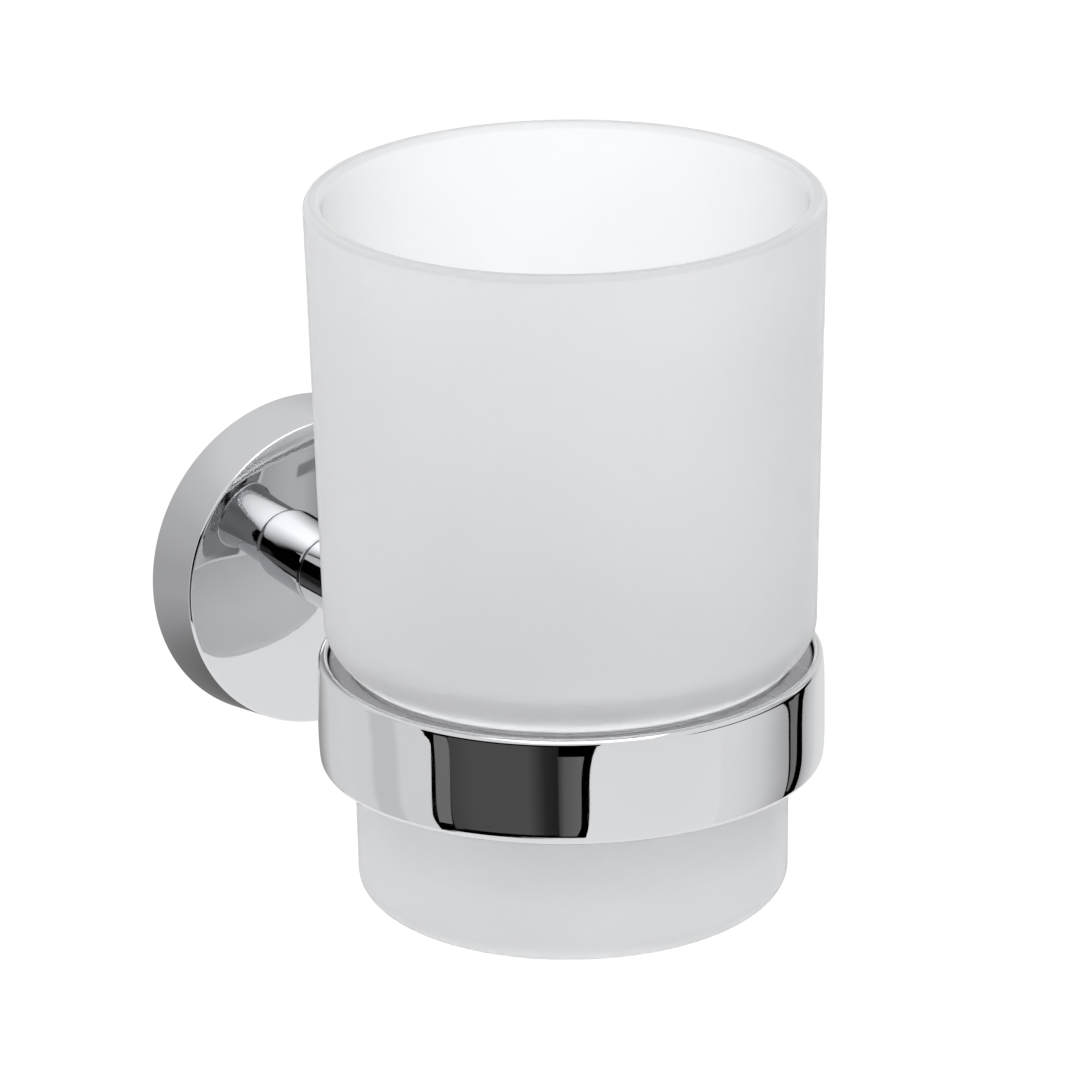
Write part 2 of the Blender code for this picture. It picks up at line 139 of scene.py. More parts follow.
def turned(name, profile, placement, segments, closed=True):
    """Spin a profile about Z and lay it along the placement's axis."""
    mesh = bmesh.new()
    verts = [mesh.verts.new((radius, 0.0, height)) for radius, height in held(profile, closed)]
    edges = [mesh.edges.new(pair) for pair in zip(verts, verts[1:])]
    if closed:
        edges.append(mesh.edges.new((verts[-1], verts[0])))
    bmesh.ops.spin(
        mesh,
        geom=verts + edges,
        cent=Vector(),
        axis=Vector((0.0, 0.0, 1.0)),
        angle=2 * math.pi,
        steps=segments,
        use_merge=True,
        use_normal_flip=False,
        use_duplicate=False,
    )
    bmesh.ops.remove_doubles(mesh, verts=mesh.verts, dist=MERGE_DISTANCE)
    bmesh.ops.recalc_face_normals(mesh, faces=mesh.faces)
    bmesh.ops.transform(mesh, matrix=placement, verts=mesh.verts)
    data = bpy.data.meshes.new(name)
    mesh.to_mesh(data)
    mesh.free()
    data.shade_smooth()
    return linked(name, data)


def drill(name, radius, low, high, placement, segments):
    """Cutting tool for a straight round hole between two heights."""
    profile = [(0.0, low), (radius, low), (radius, high), (0.0, high)]
    return turned(name, profile, placement, segments, closed=False)


def cut_away(piece, tools):
    """Take the tools' shapes out of the piece for good and remove the tools."""
    for tool in tools:
        modifier = piece.modifiers.new(tool.name, "BOOLEAN")
        modifier.operation = "DIFFERENCE"
        modifier.solver = "EXACT"
        modifier.object = tool
    bpy.context.view_layer.update()
    depsgraph = bpy.context.evaluated_depsgraph_get()
    data = bpy.data.meshes.new_from_object(piece.evaluated_get(depsgraph))
    piece.modifiers.clear()
    piece.data = data
    for tool in tools:
        bpy.data.objects.remove(tool, do_unlink=True)


def leaned(piece, sizes, still, full):
    """Lean a piece with the wall plate's face, from nothing at one depth to all of it at the other."""
    side, up = math.tan(sizes.lean_side), math.tan(sizes.lean_up)
    for vert in piece.data.vertices:
        share = min(1.0, max(0.0, (-vert.co.y - still) / (full - still)))
        vert.co.y -= share * (side * vert.co.x + up * vert.co.z)
    piece.data.update()


def dress(piece, material, body, node, sharp_degrees=30.0):
    """Keep edges sharp above an angle, finish the piece, give it its body, and hide the CAD node that
    it stands in for.
    """
    piece.data.set_sharp_from_angle(angle=math.radians(sharp_degrees))
    piece.data.materials.clear()
    piece.data.materials.append(material)
    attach(piece, body)
    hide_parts(node)


# Nodes


def new_node(tree, kind, inputs, **settings):
    """New node, its inputs set to plain values or linked to other nodes' sockets."""
    made = tree.nodes.new(kind)
    for name, value in settings.items():
        setattr(made, name, value)
    for name, value in inputs.items():
        if isinstance(value, bpy.types.NodeSocket):
            tree.links.new(value, made.inputs[name])
        else:
            made.inputs[name].default_value = value
    return made


def calculated(tree, operation, first, second):
    """Result of a Math node on two numbers or sockets."""
    return new_node(tree, "ShaderNodeMath", {0: first, 1: second}, operation=operation).outputs["Value"]


def ramp(tree, value, stops):
    """Colour that follows (position, colour) stops along a value."""
    made = new_node(tree, "ShaderNodeValToRGB", {"Fac": value})
    steps = made.color_ramp.elements
    first, *middle, last = stops
    for step, (position, color) in ((steps[0], first), (steps[1], last)):
        step.position = position
        step.color = (*color, 1.0)
    for position, color in middle:
        steps.new(position).color = (*color, 1.0)
    return made.outputs["Color"]


def shader(tree, kind, inputs):
    """Shader of a kind with the given inputs."""
    return new_node(tree, kind, inputs).outputs[0]


def mixed(tree, share, first, second):
    """Shader that is the first where the share is 0 and the second where it is 1."""
    return shader(tree, "ShaderNodeMixShader", {"Fac": share, 1: first, 2: second})


def grey(tone):
    """A tone as an opaque colour."""
    return (tone, tone, tone, 1.0)


# Finishes

# Part of a noise's range that the patterns use.
PATTERN_LOW, PATTERN_HIGH = 0.3, 0.7
# Shares of the painted rim shade's height where its shade is full, and where the deeper painted shade
# of the very top starts and is full.
PAINTED_RIM_STOPS = (0.3, 0.86, 0.93)


def new_finish(name):
    """Return the node tree and the Principled node of a fresh material, and the material."""
    material = bpy.data.materials.new(name)
    material.use_nodes = True
    return material.node_tree, material.node_tree.nodes["Principled BSDF"], material


def noise(tree, scale, detail, roughness=0.5):
    """Noise in the piece's own space."""
    place = new_node(tree, "ShaderNodeTexCoord", {}).outputs["Object"]
    inputs = {"Scale": scale, "Detail": detail, "Roughness": roughness, "Vector": place}
    return new_node(tree, "ShaderNodeTexNoise", inputs).outputs["Fac"]


def mottled(tree, skin, pattern, color, darkest):
    """Let a pattern darken the colour, down to a share of it."""
    dark = tuple(part * darkest for part in color)
    tone = ramp(tree, pattern, ((PATTERN_LOW, dark), (PATTERN_HIGH, tuple(color))))
    tree.links.new(tone, skin.inputs["Base Color"])
    return tone


def roughened(tree, skin, pattern, low, high):
    """Let a pattern spread the roughness between two values."""
    source = {"Value": pattern, "From Min": PATTERN_LOW, "From Max": PATTERN_HIGH}
    spread = new_node(tree, "ShaderNodeMapRange", {**source, "To Min": low, "To Max": high})
    tree.links.new(spread.outputs["Result"], skin.inputs["Roughness"])


def bumped(tree, skin, pattern, depth):
    """Raise the surface a little with a pattern."""
    bump = new_node(tree, "ShaderNodeBump", {"Strength": 1.0, "Distance": depth, "Height": pattern})
    tree.links.new(bump.outputs["Normal"], skin.inputs["Normal"])


def grained(name, color, metallic, grain, darkest, roughness, depth):
    """Finish whose one grain drives its colour, its roughness and its relief."""
    tree, skin, material = new_finish(name)
    skin.inputs["Metallic"].default_value = metallic
    pattern = noise(tree, *grain)
    mottled(tree, skin, pattern, color, darkest)
    roughened(tree, skin, pattern, *roughness)
    bumped(tree, skin, pattern, depth)
    return material


def polished_chrome(settings):
    """Mirror chrome with the faint haze and ripple that polishing leaves."""
    material = bpy.data.materials.get("polished_chrome")
    if material:
        return material
    tree, skin, material = new_finish("polished_chrome")
    skin.inputs["Metallic"].default_value = 1.0
    haze = noise(tree, scale=90.0, detail=3.0)
    mottled(tree, skin, haze, settings.chrome_color, darkest=0.985)
    wiped = noise(tree, scale=400.0, detail=4.0, roughness=0.6)
    roughened(tree, skin, wiped, low=0.015, high=0.045)
    ripple = noise(tree, scale=55.0, detail=0.0)
    bumped(tree, skin, ripple, settings.chrome_ripple)
    return material


def satin_glass(settings):
    """Etched white glass: light soaks through, its skin has a soft sheen and a fine grain, and its
    rolled rim carries painted shade.
    """
    tree, skin, material = new_finish("satin_glass")
    cloud = noise(tree, scale=35.0, detail=3.0)
    tone = mottled(tree, skin, cloud, settings.glass_color, darkest=0.975)
    # Painted shade: the glass's colour is darkened over the rolled rim, and more at its very top.
    tones = {0: tone, 1: painted_rim_shading(tree, settings)}
    rim_shaded = new_node(tree, "ShaderNodeVectorMath", tones, operation="MULTIPLY")
    tree.links.new(rim_shaded.outputs["Vector"], skin.inputs["Base Color"])
    etch = noise(tree, scale=2500.0, detail=2.0)
    roughened(tree, skin, etch, low=0.5, high=0.6)
    bumped(tree, skin, etch, settings.etch_depth)
    skin.inputs["IOR"].default_value = 1.5
    skin.inputs["Transmission Weight"].default_value = settings.glass_soak
    return material


def painted_rim_shading(tree, settings):
    """Painted shade that darkens the glass's colour over its rolled rim, and once more at the very top.
    """
    place = new_node(tree, "ShaderNodeTexCoord", {}).outputs["Object"]
    height = new_node(tree, "ShaderNodeSeparateXYZ", {"Vector": place}).outputs["Z"]
    top = TUMBLER_HIGH.z
    inputs = {"Value": height, "From Min": top - settings.painted_rim_band, "From Max": top}
    share = new_node(tree, "ShaderNodeMapRange", inputs).outputs["Result"]
    band, edge = (settings.painted_rim_shade,) * 3, (settings.painted_rim_top_shade,) * 3
    full, edge_start, edge_full = PAINTED_RIM_STOPS
    stops = ((0.0, (1.0, 1.0, 1.0)), (full, band), (edge_start, band), (edge_full, edge), (1.0, edge))
    return ramp(tree, share, stops)


def liner_plastic(settings):
    """Smooth grey plastic with slight flow marks."""
    return grained(
        "liner_plastic",
        settings.liner_color,
        metallic=0.0,
        grain=(120.0, 2.0),
        darkest=0.93,
        roughness=(0.22, 0.32),
        depth=0.00001,
    )


def plated_steel(settings):
    """Dull plated sheet with a cloudy grain."""
    return grained(
        "plated_steel",
        settings.plate_color,
        metallic=1.0,
        grain=(260.0, 6.0, 0.7),
        darkest=0.8,
        roughness=(0.35, 0.55),
        depth=0.00002,
    )


def screw_steel(settings):
    """Turned screw steel with fine streaks."""
    return bpy.data.materials.get("screw_steel_finish") or grained(
        "screw_steel_finish",
        settings.screw_color,
        metallic=1.0,
        grain=(900.0, 3.0),
        darkest=0.85,
        roughness=(0.22, 0.38),
        depth=0.00001,
    )


# Settings


def length(name, description, default):
    """Setting for a length."""
    return FloatProperty(
        name=name,
        description=description,
        default=default,
        precision=6,
        unit="LENGTH",
        subtype="DISTANCE",
    )


def tilt(name, description, degrees):
    """Setting for an angle, its default given in degrees."""
    return FloatProperty(
        name=name,
        description=description,
        default=math.radians(degrees),
        unit="ROTATION",
        subtype="ANGLE",
    )


def part_of(name, description, default):
    """Setting for a share of something."""
    return FloatProperty(
        name=name, description=description, default=default, min=0.0, max=1.0, subtype="FACTOR"
    )


def brightness(name, description, default):
    """Setting for the brightness of a light."""
    return FloatProperty(name=name, description=description, default=default, min=0.0)


def tint(name, description, default):
    """Setting for a colour."""
    return FloatVectorProperty(
        name=name, description=description, default=default, size=3, min=0.0, max=1.0, subtype="COLOR"
    )


class TumblerSettings(bpy.types.PropertyGroup):
    """Sizes of the glass."""

    body_radius: length("Body radius", "Outer radius just above the shoulder", 0.0325)
    foot_top_radius: length("Foot top radius", "Outer radius of the foot below the shoulder", 0.02895)
    foot_radius: length("Foot radius", "Outer radius of the foot above its rounded edge", 0.02855)
    foot_height: length("Foot height", "Height of the foot below the shoulder", 0.0334)
    shoulder_height: length("Shoulder height", "Height over which the shoulder widens", 0.0056)
    rim_wall: length("Rim wall", "Thickness of the glass at its rim", 0.0024)
    body_wall: length("Body wall", "Thickness of the glass above the shoulder", 0.0028)
    foot_wall: length("Foot wall", "Thickness of the glass in the foot", 0.0031)
    floor_thickness: length("Floor thickness", "Thickness of the glass under the brushes", 0.0055)
    floor_round_width: length("Floor round width", "How far in the floor's rounding reaches", 0.0065)
    floor_round_height: length("Floor round height", "How high the floor's rounding reaches", 0.0055)
    base_round_width: length("Bottom edge width", "How far in the bottom edge reaches", 0.0056)
    base_round_height: length("Bottom edge height", "How high the bottom edge reaches", 0.0041)
    standing_width: length("Standing ring", "Width of the flat ring that the glass stands on", 0.0029)
    hollow_depth: length("Base hollow depth", "Depth of the hollow under the base", 0.0006)
    hollow_slope: length("Base hollow slope", "Width of the slope into that hollow", 0.0018)


class RingSettings(bpy.types.PropertyGroup):
    """Sizes of the ring and its liner."""

    wall: length("Wall", "Thickness of the ring's band", 0.0014)
    crown: tilt("Crown", "Lean of the outer wall at its top and bottom edges", 9.0)
    outer_rounding: length("Outer rounding", "Radius of the ring's outer edges", 0.0008)
    inner_rounding: length("Inner rounding", "Radius of the ring's inner edges", 0.0003)
    lip_thickness: length("Lip thickness", "Thickness of the inward lip under the liner", 0.0014)
    liner_bore: length("Liner bore", "Inner radius of the liner and of the lip under it", 0.02935)
    liner_gap: length("Liner gap", "Gap between the liner and the ring's wall", 0.00015)
    liner_rounding: length("Liner rounding", "Radius of the liner's edges", 0.0005)


class ArmSettings(bpy.types.PropertyGroup):
    """Sizes of the arm between the wall plate and the ring."""

    sleeve_bore: length("Sleeve bore", "Inner radius of the sleeve", 0.0037)
    nose_length: length("Nose length", "Length of the sleeve's rounded front end", 0.002)
    foot_rounding: length("Foot rounding", "Radius of the sleeve's edge at the wall plate", 0.0004)
    neck_radius: length("Neck radius", "Smallest radius of the stem", 0.0045)
    neck_end_radius: length("Neck end radius", "Radius of the stem where it meets the sleeve", 0.0046)
    spigot_radius: length("Spigot radius", "Radius of the stem's end inside the sleeve", 0.0034)
    spigot_length: length("Spigot length", "Length of the stem's end inside the sleeve", 0.006)
    bolt_bore: length("Bolt bore", "Radius of the bores that the arm's bolt passes", 0.0023)
    flare_length: length("Flare length", "Length over which the stem widens to its flange", 0.0065)
    flange_edge: length("Flange edge", "Thickness of the flange at the ring", 0.0006)


class RosetteSettings(bpy.types.PropertyGroup):
    """Sizes of the wall plate and the bracket behind it."""

    face_radius: length("Face radius", "Radius of the plate's front face", 0.0220)
    inner_radius: length("Inner radius", "Radius of the hollow behind the face", 0.0203)
    face_thickness: length("Face thickness", "Thickness of the plate's face", 0.002)
    edge_rounding: length("Edge rounding", "Radius of the edge round the face", 0.0004)
    dome: length("Dome", "How far polishing leaves the face's middle proud", 0.00015)
    roll_off: length("Roll-off", "How far polishing drops the outermost part of the face", 0.0001)
    lean_side: tilt("Sideways lean", "How far the face turns to the side from the wall", 1.37)
    lean_up: tilt("Upward lean", "How far the face tips from the wall", 0.68)
    grub_hole_radius: length("Set screw hole radius", "Radius of the hole under the plate", 0.00165)
    bracket_plate: length("Bracket plate", "Thickness of the bracket's plate", 0.0022)
    bracket_rim: length("Bracket rim", "Thickness of the bracket's rim", 0.0015)
    wall_hole_radius: length("Wall screw hole radius", "Radius of the bracket's screw holes", 0.0022)
    wall_hole_spacing: length("Wall screw spacing", "Distance between those holes", 0.0230)


class FinishSettings(bpy.types.PropertyGroup):
    """Colours and surface detail."""

    glass_color: tint("Glass", "Colour of the etched glass", (0.93, 0.935, 0.945))
    glass_soak: part_of("Glass soak", "Share of the light that goes through the glass", 0.6)
    # Painted shade on the rolled rim: its tone and that of the very top as shares of the glass's
    # colour, and the height of its band.
    painted_rim_shade: part_of("Rim shade", "Tone of the rounded rim, as a share of the glass's", 0.87)
    painted_rim_top_shade: part_of("Rim edge shade", "Tone of the rim's very top, as such a share", 0.76)
    painted_rim_band: length("Rim band", "Height of the rim's slightly darker band", 0.001)
    etch_depth: length("Etch depth", "Depth of the grain in the etched glass", 0.000004)
    chrome_color: tint("Chrome", "Colour of the polished metal", (0.66, 0.665, 0.68))
    chrome_ripple: length("Chrome ripple", "Depth of the faint waves in the polish", 0.00001)
    liner_color: tint("Liner", "Colour of the plastic liner", (0.24, 0.24, 0.25))
    plate_color: tint("Bracket", "Colour of the bracket's plating", (0.55, 0.56, 0.57))
    screw_color: tint("Screws", "Colour of the screws", (0.48, 0.48, 0.50))
    large_segments: IntProperty(
        name="Large round segments",
        description="Segments round the glass, the ring and the wall plate",
        default=256,
        min=48,
        max=512,
    )
    small_segments: IntProperty(
        name="Small round segments",
        description="Segments round the arm and the screws",
        default=96,
        min=24,
        max=256,
    )


class StageSettings(bpy.types.PropertyGroup):
    """Floor, lights, dark cards and camera."""

    floor_drop: length("Floor drop", "Distance from the arm down to the floor", 0.95)
    floor_radius: length("Floor radius", "Radius of the round floor", 9.0)
    card_distance: length("Card distance", "Distance from the cup to the mirrored cards", 1.5)
    sky: brightness("Sky", "Strength of the light from all round", 0.88)
    overhead_glow: brightness("Overhead lamp", "Brightness of the lamp above the front", 1.8)
    back_glow: brightness("Back lamp", "Brightness of the lamp high behind the glass", 1.92)
    through_glow: brightness("Through lamp", "Brightness of the low lamp behind the glass", 0.92)
    left_glow: brightness("Left lamp", "Brightness of the lamp on the left", 0.3)
    right_glow: brightness("Right lamp", "Brightness of the lamp on the right", 0.16)
    camera_azimuth: tilt("Camera azimuth", "Turn of the camera round the cup, from the front", -32.597)
    camera_elevation: tilt("Camera elevation", "How far the camera looks down", 20.001)
    camera_roll: tilt("Camera roll", "Turn of the camera about its own line of sight", -0.782)
    camera_distance: length("Camera distance", "Distance from the camera to its aim", 1.15)
    camera_aim: FloatVectorProperty(
        name="Camera aim",
        description="Place in the middle of the picture",
        default=(-0.00353, -0.06841, 0.02296),
        precision=5,
        size=3,
        unit="LENGTH",
        subtype="XYZ",
    )
    focal_length: FloatProperty(
        name="Focal length",
        description="Focal length of the camera in millimetres on a 36 mm frame",
        default=292.03,
        min=1.0,
        max=1000.0,
    )


# Pieces

# Powers of the crowned ring wall and of the plate's roll-off: higher ones start closer to the edge.
CROWN_POWER = 3
ROLL_OFF_POWER = 17
# Degrees that the plate's rounded edge stops short of its side and of its face.
EDGE_TRIM = 6.0
# Small sizes of the bracket, of its countersunk holes and of the set screw.
BRACKET_ROUNDING = 0.0004
BRACKET_GRUB_RADIUS = 0.0018
SINK_DEPTH, SINK_SLOPE = 0.0014, 1.14
SCREW_CHAMFER = 0.0004
SOCKET_RADIUS, SOCKET_DEPTH, SOCKET_TIP = 0.00087, 0.0014, 0.0002


class HOLDER_OT_tumbler(bpy.types.Operator):
    """Dress the glass"""

    bl_idname = "holder.tumbler"
    bl_label = "Tumbler"

    def outside(self, sizes):
        """Outer profile from the middle of the base up to the top of the shoulder."""
        width, height = sizes.base_round_width, sizes.base_round_height
        flat_radius = sizes.foot_radius - width
        depth, slope = sizes.hollow_depth, sizes.hollow_slope
        hollow_radius = flat_radius - sizes.standing_width - slope
        points = [(0.0, depth), (hollow_radius, depth)]
        points += eased((hollow_radius + FLAT_EDGE, depth), (hollow_radius + slope, 0.0), steps=6)
        points += arc((flat_radius, height), (width, height), -90.0, 0.0, steps=20)
        step_width = sizes.body_radius - sizes.foot_top_radius
        top = sizes.foot_height + sizes.shoulder_height
        for share in reversed(shares(20)):
            radius = sizes.body_radius - step_width * share**2
            points.append((radius, top - sizes.shoulder_height * share))
        return points

    def rim(self, sizes):
        """Rounded lip from the outer wall over to the inner wall."""
        lip = sizes.rim_wall / 2
        height = TUMBLER_HIGH.z - TUMBLER_LOW.z
        return rounded((TUMBLER_HIGH.x - lip, height - lip), lip, 0.0, 180.0, steps=24)

    def inside(self, sizes):
        """Inner profile from under the rim down to the middle of the floor."""
        foot_radius = sizes.foot_radius - sizes.foot_wall
        body = (sizes.body_radius - sizes.body_wall, sizes.foot_height + sizes.shoulder_height)
        shoulder = eased((foot_radius, sizes.foot_height), body, steps=16)
        width, height = sizes.floor_round_width, sizes.floor_round_height
        floor_center = (foot_radius - width, sizes.floor_thickness + height)
        floor_round = arc(floor_center, (width, height), 0.0, -90.0, steps=16)
        return shoulder[::-1] + floor_round + [(0.0, sizes.floor_thickness)]

    def execute(self, context):
        scene = context.scene
        sizes, finish = scene.holder_tumbler, scene.holder_finish
        profile = self.outside(sizes) + self.rim(sizes) + self.inside(sizes)
        placement = CUP_AXIS @ Matrix.Translation((0.0, 0.0, TUMBLER_LOW.z))
        piece = turned("glass_cup", profile, placement, finish.large_segments, closed=False)
        dress(piece, satin_glass(finish), "tumbler", "tumbler", sharp_degrees=50.0)
        return {"FINISHED"}


class HOLDER_OT_ring(bpy.types.Operator):
    """Dress the ring and its liner"""

    bl_idname = "holder.ring"
    bl_label = "Ring and liner"

    def lean(self, sizes, height):
        """Lean of the outer wall at a height above the ring's middle."""
        return sizes.crown * (height / RING_HIGH.z) ** CROWN_POWER

    def wall_radius(self, sizes, height):
        """Outer radius of the crowned wall at a height above the ring's middle."""
        power = CROWN_POWER + 1
        return RING_HIGH.x - sizes.crown * RING_HIGH.z * (height / RING_HIGH.z) ** power / power

    def wall_end(self, sizes):
        """Height at which the wall runs into its rounded edge, found in a few rounds."""
        end = RING_HIGH.z - sizes.outer_rounding
        for _ in range(4):
            end = RING_HIGH.z - sizes.outer_rounding * (1.0 - math.sin(self.lean(sizes, end)))
        return end

    def band_profile(self, sizes):
        """Closed section of the ring with a crowned outer wall and an inward lip."""
        end = self.wall_end(sizes)
        lean = self.lean(sizes, end)
        outer, inner = sizes.outer_rounding, sizes.inner_rounding
        edge_radius = self.wall_radius(sizes, end) - outer * math.cos(lean)
        edge_height = end - outer * math.sin(lean)
        degrees = math.degrees(lean)
        bore, lip_radius = RING_HIGH.x - sizes.wall, sizes.liner_bore + inner
        lip_top = RING_LOW.z + sizes.lip_thickness
        heights = [end * (2 * share - 1) for share in shares(48)]
        points = [(self.wall_radius(sizes, height), height) for height in heights]
        points += rounded((edge_radius, edge_height), outer, degrees, 90.0, steps=16)[1:]
        points += rounded((bore + inner, RING_HIGH.z - inner), inner, 90.0, 180.0, steps=8)
        points.append((bore, lip_top))
        points += rounded((lip_radius, lip_top - inner), inner, 90.0, 180.0, steps=8)
        points += rounded((lip_radius, RING_LOW.z + inner), inner, 180.0, 270.0, steps=8)
        points += rounded((edge_radius, -edge_height), outer, 270.0, 360.0 - degrees, steps=16)[:-1]
        return points

    def liner_profile(self, sizes):
        """Closed section of the liner."""
        rounding = sizes.liner_rounding
        inner = sizes.liner_bore + rounding
        outer = RING_HIGH.x - sizes.wall - sizes.liner_gap - rounding
        low, high = LINER_LOW.z + rounding, LINER_HIGH.z - rounding
        corners = ((outer, low), (outer, high), (inner, high), (inner, low))
        points = []
        for turns, center in enumerate(corners):
            start = 90.0 * (turns - 1)
            points += rounded(center, rounding, start, start + 90.0, steps=8)
        return points

    def execute(self, context):
        scene = context.scene
        sizes, finish = scene.holder_ring, scene.holder_finish
        band = turned("polished_ring", self.band_profile(sizes), CUP_AXIS, finish.large_segments)
        dress(band, polished_chrome(finish), "holder", "ring_band", sharp_degrees=60.0)
        liner = turned("ring_liner", self.liner_profile(sizes), CUP_AXIS, finish.large_segments)
        plastic = liner_plastic(finish)
        dress(liner, plastic, "holder", "seat_liner", sharp_degrees=60.0)
        return {"FINISHED"}


class HOLDER_OT_arm(bpy.types.Operator):
    """Dress the sleeve and the stem"""

    bl_idname = "holder.arm"
    bl_label = "Arm"

    def sleeve_profile(self, sizes, plate_sizes):
        """Closed section of the sleeve, its height measured from the wall."""
        foot = -ROSETTE_LOW.y + plate_sizes.roll_off + TOUCH_GAP
        nose = -SLEEVE_LOW.y
        rounding, neck = sizes.foot_rounding, sizes.neck_end_radius
        nose_radii = (SLEEVE_HIGH.x - neck, sizes.nose_length)
        points = [(sizes.sleeve_bore, foot)]
        points += rounded((SLEEVE_HIGH.x - rounding, foot + rounding), rounding, -90.0, 0.0, steps=8)
        points += arc((neck, nose - sizes.nose_length), nose_radii, 0.0, 90.0, steps=16)
        points.append((sizes.sleeve_bore, nose))
        return points

    def stem_profile(self, sizes):
        """Closed section of the stem, its height measured from the wall."""
        foot = -SLEEVE_LOW.y + TOUCH_GAP
        spigot_end, neck = foot - sizes.spigot_length, sizes.neck_end_radius
        flare_start = STEM_END - sizes.flange_edge - sizes.flare_length
        flare_radii = (STEM_RADIUS - sizes.neck_radius, sizes.flare_length)
        points = [
            (sizes.bolt_bore, spigot_end),
            (sizes.spigot_radius, spigot_end),
            (sizes.spigot_radius, foot),
            (neck, foot),
        ]
        points += eased((neck, foot + HOLD), (sizes.neck_radius, flare_start), steps=10)
        points += arc((STEM_RADIUS, flare_start), flare_radii, 180.0, 90.0, steps=20)[1:]
        points += [(STEM_RADIUS, STEM_END), (sizes.bolt_bore, STEM_END)]
        return points

    def saddle(self, piece, sizes):
        """Bend the stem's flange round the ring."""
        ring_radius = RING_HIGH.x + TOUCH_GAP
        full = STEM_END - sizes.flange_edge
        start = full - sizes.flare_length / 2
        for vert in piece.data.vertices:
            depth = -vert.co.y
            if depth > start:
                share = min(1.0, (depth - start) / (full - start))
                bend = ring_radius - math.sqrt(ring_radius**2 - vert.co.x**2)
                vert.co.y -= bend * share**2
        piece.data.update()

    def execute(self, context):
        scene = context.scene
        sizes, plate_sizes, finish = scene.holder_arm, scene.holder_rosette, scene.holder_finish
        chrome, segments = polished_chrome(finish), finish.small_segments
        sleeve = turned("arm_tube", self.sleeve_profile(sizes, plate_sizes), ARM_AXIS, segments)
        leaned(sleeve, plate_sizes, -SLEEVE_LOW.y, -ROSETTE_LOW.y)
        dress(sleeve, chrome, "holder", "arm_sleeve", sharp_degrees=40.0)
        stem = turned("flared_stem", self.stem_profile(sizes), ARM_AXIS, segments)
        self.saddle(stem, sizes)
        dress(stem, chrome, "holder", "ring_stem", sharp_degrees=40.0)
        return {"FINISHED"}


class HOLDER_OT_rosette(bpy.types.Operator):
    """Dress the wall plate"""

    bl_idname = "holder.rosette"
    bl_label = "Wall plate"

    def profile(self, sizes, bore):
        """Closed section of the plate: a cup with a tapered side and a domed face."""
        depth, wall_radius = -ROSETTE_LOW.y + sizes.roll_off, ROSETTE_HIGH.x
        rounding = sizes.edge_rounding
        taper = (wall_radius - sizes.face_radius) / depth
        face_radius = sizes.face_radius + taper * rounding - rounding
        edge_depth = depth - sizes.dome - sizes.roll_off - rounding
        points = [
            (sizes.inner_radius, 0.0),
            (wall_radius - rounding / 2, 0.0),
            (wall_radius, rounding / 2),
        ]
        points += rounded((face_radius, edge_depth), rounding, EDGE_TRIM, 90.0 - EDGE_TRIM, steps=14)
        for inward in shares(40)[1:]:
            share = math.sqrt(1.0 - inward)
            drop = sizes.dome * share**2 + sizes.roll_off * share**ROLL_OFF_POWER
            points.append((bore + (face_radius - bore) * share, depth - drop))
        back = depth - sizes.face_thickness
        points += [(bore, back), (sizes.inner_radius, back)]
        return points

    def execute(self, context):
        scene = context.scene
        sizes, finish = scene.holder_rosette, scene.holder_finish
        profile = self.profile(sizes, scene.holder_arm.bolt_bore)
        plate = turned("wall_plate", profile, ARM_AXIS, finish.large_segments)
        leaned(plate, sizes, 0.0, -ROSETTE_LOW.y)
        low, high = -ROSETTE_HIGH.x - CUT_OVERRUN, -sizes.inner_radius + CUT_OVERRUN
        tool = drill("plate_hole", sizes.grub_hole_radius, low, high, GRUB_AXIS, finish.small_segments)
        cut_away(plate, [tool])
        dress(plate, polished_chrome(finish), "holder", "rosette")
        return {"FINISHED"}


class HOLDER_OT_bracket(bpy.types.Operator):
    """Dress the bracket behind the wall plate"""

    bl_idname = "holder.bracket"
    bl_label = "Wall bracket"

    def profile(self, sizes, rim_inner):
        """Open section of the bracket: a flat plate with a rim standing off the wall."""
        radius, depth, rounding = BRACKET_HIGH.x, -BRACKET_LOW.y, BRACKET_ROUNDING
        points = [(0.0, 0.0), (radius - rounding / 2, 0.0), (radius, rounding / 2)]
        points += rounded((radius - rounding, depth - rounding), rounding, 0.0, 90.0, steps=6)
        plate = sizes.bracket_plate
        return points + [(rim_inner, depth), (rim_inner, plate), (0.0, plate)]

    def wall_hole(self, sizes, name, side, segments):
        """Cutting tool for one countersunk hole."""
        radius, plate = sizes.wall_hole_radius, sizes.bracket_plate
        profile = [
            (0.0, -CUT_OVERRUN),
            (radius, -CUT_OVERRUN),
            (radius, plate - SINK_DEPTH),
            (radius + SINK_SLOPE * (SINK_DEPTH + CUT_OVERRUN), plate + CUT_OVERRUN),
            (0.0, plate + CUT_OVERRUN),
        ]
        placement = Matrix.Translation((side * sizes.wall_hole_spacing / 2, 0.0, 0.0)) @ ARM_AXIS
        return turned(name, profile, placement, segments, closed=False)

    def execute(self, context):
        scene = context.scene
        sizes, finish = scene.holder_rosette, scene.holder_finish
        segments = finish.small_segments
        rim_inner = BRACKET_HIGH.x - sizes.bracket_rim
        profile = self.profile(sizes, rim_inner)
        bracket = turned("dished_bracket", profile, ARM_AXIS, finish.large_segments, closed=False)
        low, high = -BRACKET_HIGH.x - CUT_OVERRUN, -rim_inner + CUT_OVERRUN
        tools = [
            self.wall_hole(sizes, "bracket_hole_left", -1, segments),
            self.wall_hole(sizes, "bracket_hole_right", 1, segments),
            drill("bracket_grub_hole", BRACKET_GRUB_RADIUS, low, high, GRUB_AXIS, segments),
        ]
        cut_away(bracket, tools)
        dress(bracket, plated_steel(finish), "holder", "wall_bracket")
        return {"FINISHED"}


